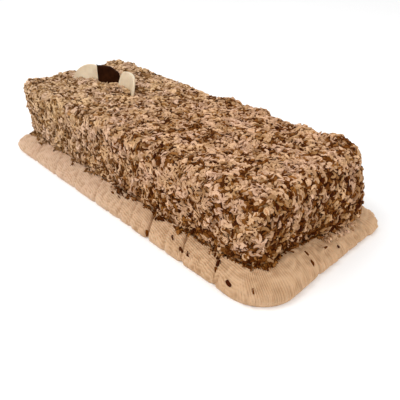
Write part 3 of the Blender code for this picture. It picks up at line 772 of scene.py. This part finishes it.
def clear_of_pieces(places):
    """Which places keep off the feet of the pieces on top."""
    clear = np.ones(len(places), bool)
    for place, heading, length, cup in PIECE_FEET:
        away = places[:, :2] - np.array(place)
        along = (away[:, 0] * math.cos(heading) + away[:, 1] * math.sin(heading)) * 2 / length
        aside = away[:, 1] * math.cos(heading) - away[:, 0] * math.sin(heading)
        aside -= cup * np.clip(1 - along ** 2, 0, 1)
        on_top = places[:, 2] > TORTE_HEIGHT / 2
        near = (np.abs(along) < PIECE_REACH) & (np.abs(aside) < PIECE_CLEARANCE)
        clear &= ~(on_top & near)
    return clear


def coat_fields(middles, ways):
    """Things at each place of the coat that set how the shavings lie there."""
    x, _, z = middles.T
    bare = [1 - smooth_step(*BARE_FADE, np.linalg.norm(middles - place, axis=1) / reach)
            for place, reach in BARE_PATCHES]
    toward_end = smooth_step(*TOWARD_END, x)
    low = (1 - smooth_step(*LOW_WALL, z)) * (1 - np.clip(ways[:, 2], 0, 1))
    return {
        "even": 1.0, "toward_end": toward_end, "low": low, "low_at_end": low * toward_end,
        "end_wall": np.clip(ways[:, 0], 0, 1), "bare": np.max(bare, axis=0),
        "over_foot": smooth_step(0.0, FOOT_FADE, z - bare_height(middles)),
        "clumps": clump_fields(middles),
    }


def bare_height(middles):
    """Height up to which the wall has no shavings: uneven, just over the border."""
    rises = np.array([border_rise(Vector(middle[:2])) for middle in middles])
    lower = np.array([max(0.0, -outline_distance(x, y)[1].x) ** 2 for x, y, _ in middles])
    uneven = np.array([noise.noise(Vector(middle) / FOOT_SPACING + DAB_SHIFT)
                       for middle in middles])
    height = BORDER_HEIGHT * (1 - BORDER_LOW_END * lower)
    return (height + FOOT_MARGIN - FOOT_DROP * lower + FOOT_RISE * rises
            - FOOT_UNEVEN * uneven)


def density(kind, fields):
    """How thickly a kind of shaving lies at each place of the coat."""
    clumped = smooth_step(*kind["clumps"], fields["clumps"])
    found = dict(fields, clumped=clumped, clumped_at_end=clumped * fields["toward_end"])
    thickly = fields["over_foot"]
    for weights in kind["density"]:
        thickly = thickly * weighted(weights, found)
    return thickly


def strewn(kind, spots, ways, lift, draw):
    """Shavings of a kind, laid at the given spots, and the faces of one."""
    count = len(spots)
    strip, faces = curl_strip(kind["steps"])
    length, width, bend = (draw.uniform(*kind[size], count)
                           for size in ("length", "width", "bend"))
    shapes = curled(strip, length, width, kind["thickness"], bend, draw)
    shapes = tilted(shapes, draw, kind["tilt"])
    return laid_on(shapes, spots, ways, draw.uniform(*lift, count), draw), faces


def shavings(surface, name, kind, fields, material):
    """Scatter one kind of shaving over the coat."""
    draw = np.random.default_rng(kind["seed"])
    spots, ways = scattered(surface, kind["count"], density(kind, fields), draw)
    places, faces = strewn(kind, spots, ways, kind["lift"], draw)
    shade = SHADE_MIDDLE + draw.uniform(-SHADE_SPREAD, SHADE_SPREAD, len(spots))
    shade += SHADE_BY_CLUMP * clump_fields(spots)
    # Painted shade on the wall that faces +X.
    shade += PAINTED_END_WALL_SHADE * np.clip(ways[:, 0], 0, 1)
    return joined(name, places, faces, np.clip(shade, 0, 1), richness(spots, draw), material)


def crumbs(surface, fields, material):
    """Fine chips of chocolate between the shavings."""
    draw = np.random.default_rng(CRUMB_SEED)
    thickly = density(SHAVING_KINDS["dark_shavings"], fields)
    spots, ways = scattered(surface, CRUMB_COUNT, thickly, draw)
    count = len(spots)
    bm = bmesh.new()
    bmesh.ops.create_icosphere(bm, subdivisions=1, radius=0.5)
    ball, faces = as_arrays(bm)
    shapes = ball[None, :, :] * draw.uniform(*CRUMB_SIZE, (count, 1, 3))
    places = laid_on(shapes, spots, ways, draw.uniform(*CRUMB_LIFT, count), draw)
    return joined("chocolate_crumbs", places, faces, draw.random(count),
                  richness(spots, draw), material)


def spill_places(count, draw):
    """Places in plan where shavings have fallen from the coat's foot."""
    found = []
    while len(found) < count:
        place, way = foot_path(draw.uniform(0, BORDER_LENGTH))
        wall = place + way * PLAN_RADIUS
        clump = max(0.0, noise.noise(wall.to_3d() / SPILL_CLUMP_SPACING + DAB_SHIFT))
        heap = max(0.0, 1.0 - (wall - HEAP).length / HEAP_REACH)
        near_end = float(smooth_step(*SPILL_NEAR_END, wall.x))
        there = {"even": 1.0, "clump": clump, "heap": heap, "near_end": near_end}
        if draw.random() < weighted(SPILL_CHANCE, there):
            there["heap"] = heap * (2 - heap)
            reach = weighted(SPILL_REACH, there) * draw.random() ** SPILL_FALL_OFF
            found.append(wall + way * (SPILL_START + reach))
    return found


def fallen(name, surface, above, lift, draw, finishes):
    """Shavings that lie on a surface under the given places in plan."""
    kind = {**FALLEN, **FALLEN_KINDS[name]}
    hits = [surface.ray_cast((place.x, place.y, 2 * TORTE_HEIGHT), (0, 0, -1))
            for place in above]
    spots = np.array([spot for hit, spot, _, _ in hits if hit])
    ways = np.array([normal for hit, _, normal, _ in hits if hit])
    places, faces = strewn(kind, spots, ways, lift, draw)
    return joined(name, places, faces, draw.random(len(spots)), richness(spots, draw),
                  finishes[kind["like"]])


def curls_by_pieces(coat, finishes):
    """Pale shavings pushed up in front of the pieces' feet."""
    draw = np.random.default_rng(FOOT_CURL_SEED)
    above, highest = [], []
    for (place, heading, length, cup), (count, high, last) in zip(PIECE_FEET, FOOT_CURLS):
        ahead = way_at(heading)
        highest += [high] * count
        for _ in range(count):
            along = draw.uniform(-1.0, last)
            away = cup * (1 - along * along) - draw.uniform(*FOOT_CURL_REACH)
            above.append(place + ahead * along * length / 2 + away * Vector((-ahead.y, ahead.x)))
    return fallen("curls_by_pieces", coat, above, (FOOT_CURL_LIFT, highest), draw, finishes)


def spilled_shavings(border, finishes):
    """Shavings fallen on the border, flakes farther out, and pale curls by the heap."""
    draw = np.random.default_rng(SPILL_SEED)
    curls = [Vector([draw.uniform(*reach) for reach in PALE_SPILL])
             for _ in range(PALE_SPILL_COUNT)]
    curls += spill_places(PALE_SPREAD_COUNT, draw)
    dark = spill_places(DARK_SPILL_COUNT, draw)
    dark += [Vector(heap) + Vector(draw.normal(0, DARK_HEAP_REACH, 2))
             for heap in DARK_HEAPS for _ in range(DARK_HEAP_COUNT)]
    pieces = [fallen("spilled_dark", border, dark, FALLEN_LIFT, draw, finishes)]
    milk = spill_places(MILK_SPILL_COUNT, draw)
    flakes = [Vector(flake) for flake in BORDER_FLAKES]
    return pieces + [fallen(name, border, above, FALLEN_LIFT, draw, finishes)
                     for name, above in (("spilled_milk", milk), ("spilled_curls", curls),
                                         ("border_flakes", flakes))]


# --- Cream border ---

def foot_path(distance):
    """Where the border is at a distance along its middle line, and the way out there."""
    middle = PLAN_RADIUS + BORDER_MIDDLE
    arc = middle * math.pi / 2
    distance %= BORDER_LENGTH
    start = Vector((-FLAT_X / 2, -FLAT_Y / 2))
    heading = 0.0
    for flat in (FLAT_X, FLAT_Y, FLAT_X, FLAT_Y):
        ahead = way_at(heading)
        out = Vector((ahead.y, -ahead.x))
        if distance <= flat:
            return start + ahead * distance, out
        start += ahead * flat
        distance -= flat
        if distance <= arc:
            angle = heading + distance / middle - math.pi / 2
            return start, way_at(angle)
        distance -= arc
        heading += math.pi / 2
    return start, out


def border_width(x, out):
    """Width of the border at a place along X, where this is the way out."""
    front = between(BORDER_FRONT_WIDTH, x / TORTE_LENGTH + 0.5)
    side = front if out.y < 0 else BORDER_BACK_WIDTH
    end = BORDER_END_WIDTH[1] if out.x > 0 else BORDER_END_WIDTH[0]
    fill = BORDER_CORNER_FILL[0] if out.y < 0 else BORDER_CORNER_FILL[1]
    corner = 2 * max(0.0, out.x) * abs(out.y)
    return end * out.x * out.x + side * out.y * out.y + fill * corner


def curve_point(before, begin, end, after, share):
    """Point of a smooth curve through begin and end."""
    return tuple(0.5 * (2 * p1 + (p2 - p0) * share
                        + (2 * p0 - 5 * p1 + 4 * p2 - p3) * share ** 2
                        + (3 * p1 - p0 - 3 * p2 + p3) * share ** 3)
                 for p0, p1, p2, p3 in zip(before, begin, end, after))


def border_section():
    """The solid's cross-section, with finer steps on the part that shows."""
    solid = [(0.00, 0.00), (0.00, 0.90), (0.08, 1.00), (0.30, 0.98), (0.54, 0.89),
             (0.76, 0.75), (0.92, 0.56), (1.00, 0.32), (0.94, 0.00)]
    points = []
    for number, (begin, end) in enumerate(zip(solid, solid[1:])):
        before, after = solid[max(0, number - 1)], solid[min(len(solid) - 1, number + 2)]
        steps = BORDER_SECTION_STEPS if 0 < number < len(solid) - 2 else 2
        points += [curve_point(before, begin, end, after, step / steps)
                   for step in range(steps)]
    return points + [solid[-1]]


def border_seams():
    """Distance along the border, and share of the width lost, at each seam."""
    end_middle = (BORDER_LENGTH - FLAT_Y) / 2
    seams = [(FLAT_X / 2 + x - STROKE_LEAN, share) for x, share in FRONT_SEAMS]
    seams += [(end_middle + y, share) for y, share in END_SEAMS]
    draw = random.Random(BORDER_SEED)
    last = seams[0][0] + BORDER_LENGTH - HIDDEN_SEAM_SPACING[0]
    distance = seams[-1][0] + draw.uniform(*HIDDEN_SEAM_SPACING)
    while distance < last:
        seams.append((distance, draw.uniform(*HIDDEN_SEAM_SHARE)))
        distance += draw.uniform(*HIDDEN_SEAM_SPACING)
    return seams


def nearest_seam(distance, seams):
    """How far the nearest seam is, its share, and which stroke this is."""
    half = BORDER_LENGTH / 2
    aways = [(distance - place + half) % BORDER_LENGTH - half for place, _ in seams]
    number = min(range(len(seams)), key=lambda seam: abs(aways[seam]))
    away = aways[number]
    return away, seams[number][1], (number if away >= 0 else number - 1) % len(seams)


def rib_height(distance, out, width, crossing, stroke):
    """Height of the nozzle's ribs at a place of the border's upper surface."""
    run = (out * width - RIB_DRIFT * distance) / RIB_SPACING + RIB_SHIFT * stroke
    along = RIB_HEIGHT * math.sin(math.tau * run)
    fan = FAN_HEIGHT * math.sin(math.tau * (distance / FAN_SPACING + FAN_SHIFT * stroke))
    return along * (1 - crossing) + fan * crossing


def cream_border(material):
    """Ring of overlapping, ribbed strokes round the torte's foot."""
    section = border_section()
    seams = border_seams()
    columns = []
    for number in range(BORDER_STATIONS):
        distance = BORDER_LENGTH * number / BORDER_STATIONS
        away, share, stroke = nearest_seam(distance, seams)
        notch = share * eased(1 - abs(away) / SEAM_REACH)
        line = min(1.0, share / CREVICE_SHARE) ** 3 * math.exp(-(away / CREVICE_REACH) ** 2)
        columns.append((distance, notch, line, stroke))
    bm = bmesh.new()
    groove_shade = bm.verts.layers.float.new("groove_shade")
    bmesh.ops.create_grid(bm, x_segments=len(columns), y_segments=len(section), size=1.0)
    for vert in bm.verts:
        column = round((vert.co.x + 1) / 2 * len(columns)) % len(columns)
        point = round((vert.co.y + 1) / 2 * len(section)) % len(section)
        distance, notch, line, stroke = columns[column]
        out, up = section[point]
        middle, across = foot_path(distance)
        drift = noise.noise(middle.to_3d() / BORDER_DRIFT_SPACING + BORDER_DRIFT_SHIFT)
        place, way = foot_path(distance + STROKE_LEAN * out * across.y ** 2)
        width = border_width(place.x, way) * (1 - notch + BORDER_DRIFT[0] * drift)
        lower = SEAM_DIP * notch + BORDER_LOW_END * max(0.0, -way.x) ** 2
        height = BORDER_HEIGHT * (1 - lower + BORDER_DRIFT[1] * drift)
        crossing = float(smooth_step(*FAN_TURN, abs(way.x)))
        rib = rib_height(distance, out, width, crossing, stroke)
        inner = place + way * (PLAN_RADIUS + GAP)
        ripple = noise.noise(Vector((inner.x, inner.y, out * width)) / RIPPLE_SPACING)
        edge = smooth_step(*EDGE_BAND, out)
        shown = smooth_step(*INNER_BAND, out) * smooth_step(*LOWER_BAND, up)
        ragged = noise.noise((inner + way * TOOTH_SHIFT).to_3d() / TOOTH_SPACING)
        teeth = edge * (TOOTH_HEIGHT * ragged + RIB_END * crossing * rib / FAN_HEIGHT)
        push = shown * (teeth + RIPPLE_HEIGHT * ripple * out)
        lift = shown * (rib + RIPPLE_HEIGHT * ripple
                        - CREVICE_DEPTH * line * (1 - CREVICE_EASE * edge))
        relief_here = {"even": 1.0, "rib": rib / FAN_HEIGHT, "ripple": ripple, "crevice": line}
        # Painted shade for the valleys of the ribs and ripples and for the crevices: how much
        # the cream is darkened there.
        vert[groove_shade] = shown * weighted(GROOVE_SHADE_WEIGHTS, relief_here)
        spot = inner + way * (out * (width - GAP) + push)
        vert.co = (spot.x, spot.y, up * height + up * up * border_rise(inner) + lift)
    bmesh.ops.remove_doubles(bm, verts=bm.verts, dist=MERGE_DISTANCE)
    return mesh_object("piped_border", bm, material)


# --- Chocolate pieces ---

def stand_on(piece, coat, place, heading):
    """Stand a piece on the coat's top, its foot along the heading."""
    _, spot, _, _ = coat.ray_cast((place.x, place.y, 2 * TORTE_HEIGHT), (0, 0, -1))
    piece.data.transform(Matrix.Translation(spot) @ Matrix.Rotation(heading, 4, "Z"))


def round_off(bm, edges, radius, steps):
    bmesh.ops.bevel(bm, geom=edges, offset=radius, offset_type="OFFSET", segments=steps,
                    profile=0.5, affect="EDGES", material=-1)


def chocolate_tile(material):
    """Dark tile: a leaning slab with a corner broken off and a thin spur."""
    bm = block(TILE_FOOT, TILE_THICKNESS, TILE_HEIGHT + PIECE_SINK)
    along, down = TILE_CHIP
    break_place = Vector((TILE_FOOT / 2 - along, 0, (TILE_HEIGHT + PIECE_SINK) / 2))
    cut_across(bm, break_place, (down, 0, along), clear_outer=True)
    bmesh.ops.holes_fill(bm, edges=bm.edges)
    corners = [edge for edge in bm.edges
               if abs(edge.verts[0].co.y - edge.verts[1].co.y) > TILE_THICKNESS / 2]
    round_off(bm, corners, TILE_CORNER, 4)
    bm.normal_update()
    rims = [edge for edge in bm.edges
            if len({abs(face.normal.y) > 0.5 for face in edge.link_faces}) == 2]
    round_off(bm, rims, TILE_RIM, 3)
    bmesh.ops.translate(bm, verts=bm.verts, vec=(0, 0, (TILE_HEIGHT - PIECE_SINK) / 2))
    for vert in bm.verts:
        up = vert.co.z / TILE_HEIGHT
        vert.co.x *= 1 + (TILE_TOP / TILE_FOOT - 1) * max(up, 0.0)
        vert.co.x -= TILE_SHIFT * up
        vert.co.y += math.tan(TILE_LEAN) * vert.co.z
    up = TILE_HEIGHT - SPUR_DROP
    place = Vector((-TILE_TOP / 2 - SPUR_REACH, math.tan(TILE_LEAN) * up, up))
    bmesh.ops.create_cone(bm, cap_ends=True, segments=12, radius1=SPUR_RADIUS[0],
                          radius2=SPUR_RADIUS[1], depth=SPUR_LENGTH,
                          matrix=Matrix.Translation(place) @ Matrix.Rotation(SPUR_TILT, 4, "Y"))
    tile = mesh_object("tile", bm, material)
    tile.data.set_sharp_from_angle(angle=math.radians(35))
    return tile


def petal(name, shape, material):
    """White chocolate petal: a thin cupped fan that stands on its straight edge."""
    bm = bmesh.new()
    bmesh.ops.create_grid(bm, x_segments=PETAL_STEPS[0], y_segments=PETAL_STEPS[1], size=1.0)
    crest = shape["crest"]
    for vert in bm.verts:
        along, across = vert.co.x, (vert.co.y + 1) / 2
        side = int(along > crest)
        swing = abs(along - crest) / (1 - crest if side else 1 + crest)
        crown = shape["height"] * math.sqrt(max(0.0, 1 - swing ** shape["powers"][side]))
        crown = max(crown, PETAL_TIP_HEIGHT)
        z = -PIECE_SINK + across * (crown + PIECE_SINK)
        hollow = shape["cup"] * (1 - along * along)
        vert.co = (along * shape["length"] / 2, shape["lean"] * z + hollow, z)
    piece = mesh_object(name, bm, material)
    wall = piece.modifiers.new("wall", "SOLIDIFY")
    wall.thickness = PETAL_THICKNESS
    wall.offset = 0.0
    wall.use_even_offset = True
    return piece


# --- Stage ---

CAMERA_AZIMUTH = math.radians(46.38)
CAMERA_ELEVATION = math.radians(32.75)
CAMERA_TARGET = Vector((0.048, -0.009, 0.0))
CAMERA_DISTANCE = 0.3771
CAMERA_LENS = 40.70
LIGHTS = {  # place, target, size and power
    "key": ((-0.30, -0.55, 1.10), (0.0, 0.0, 0.03), 0.8, 6.0),
    "fill": ((0.95, -0.05, 0.42), (0.14, 0.0, 0.01), 0.5, 1.6),
}
SKY_STRENGTH = 0.93
FLOOR_REACH = 4.0


def camera():
    back = Vector((math.sin(CAMERA_AZIMUTH) * math.cos(CAMERA_ELEVATION),
                   -math.cos(CAMERA_AZIMUTH) * math.cos(CAMERA_ELEVATION),
                   math.sin(CAMERA_ELEVATION)))
    lens = bpy.data.cameras.new("camera")
    lens.lens = CAMERA_LENS
    lens.sensor_width = 36.0
    lens.clip_start = 0.01
    eye = added("camera", lens)
    eye.location = CAMERA_TARGET + back * CAMERA_DISTANCE
    eye.rotation_euler = (-back).to_track_quat("-Z", "Y").to_euler()
    bpy.context.scene.camera = eye


def soft_light(name, place, target, size, power):
    lamp = bpy.data.lights.new(name, "AREA")
    lamp.shape = "DISK"
    lamp.size = size
    lamp.energy = power
    light = added(name, lamp)
    light.location = place
    aim = Vector(target) - Vector(place)
    light.rotation_euler = aim.to_track_quat("-Z", "Y").to_euler()


def stage():
    """Plain pale floor under soft light from above and the left."""
    bm = bmesh.new()
    bmesh.ops.create_grid(bm, x_segments=1, y_segments=1, size=FLOOR_REACH)
    finish = Finish("floor", 0.9)
    finish.colour(finish.marbled(0.3, FLOOR_WHITE, (0.3, 0.7), 2.0))
    floor = mesh_object("floor", bm, finish.material)
    world = bpy.data.worlds.new("studio")
    bpy.context.scene.world = world
    world.use_nodes = True
    sky = world.node_tree.nodes["Background"]
    sky.inputs["Color"].default_value = (1.0, 1.0, 1.0, 1.0)
    sky.inputs["Strength"].default_value = SKY_STRENGTH
    for name, light in LIGHTS.items():
        soft_light(name, *light)
    bpy.context.scene.view_settings.view_transform = "Standard"


def main():
    camera()
    stage()
    coat = cream_coat(cream_finish("coat_cream", **COAT_CREAM))
    dress(coat, "torte")
    finishes = {kind: shaving_finish(kind[:-1], *colours)
                for kind, colours in SHAVING_COLOURS.items()}
    finishes["pale_curls"] = finishes["pale_shavings"]
    surface = surface_triangles(coat)
    fields = coat_fields(surface[1], surface[3])
    for name, kind in SHAVING_KINDS.items():
        dress(shavings(surface, name, kind, fields, finishes[name]), "torte")
    dress(crumbs(surface, fields, finishes["dark_shavings"]), "torte")
    dress(curls_by_pieces(coat, finishes), "torte")

    border = cream_border(cream_finish("border_cream", **BORDER_CREAM))
    dress(border, "cream_border")
    for piece in spilled_shavings(border, finishes):
        dress(piece, "cream_border")

    tile = chocolate_tile(chocolate_finish("tile_chocolate", **TILE_CHOCOLATE).material)
    stand_on(tile, coat, TILE_PLACE, TILE_HEADING)
    dress(tile, "dark_chocolate_tile")
    ivory = chocolate_finish("petal_chocolate", **PETAL_CHOCOLATE)
    ivory.soft_inside(*PETAL_SOFTNESS)
    for node, shape in PETALS.items():
        piece = petal(node.replace("petal", "white_petal"), shape, ivory.material)
        stand_on(piece, coat, shape["place"], shape["heading"])
        dress(piece, node)


main()
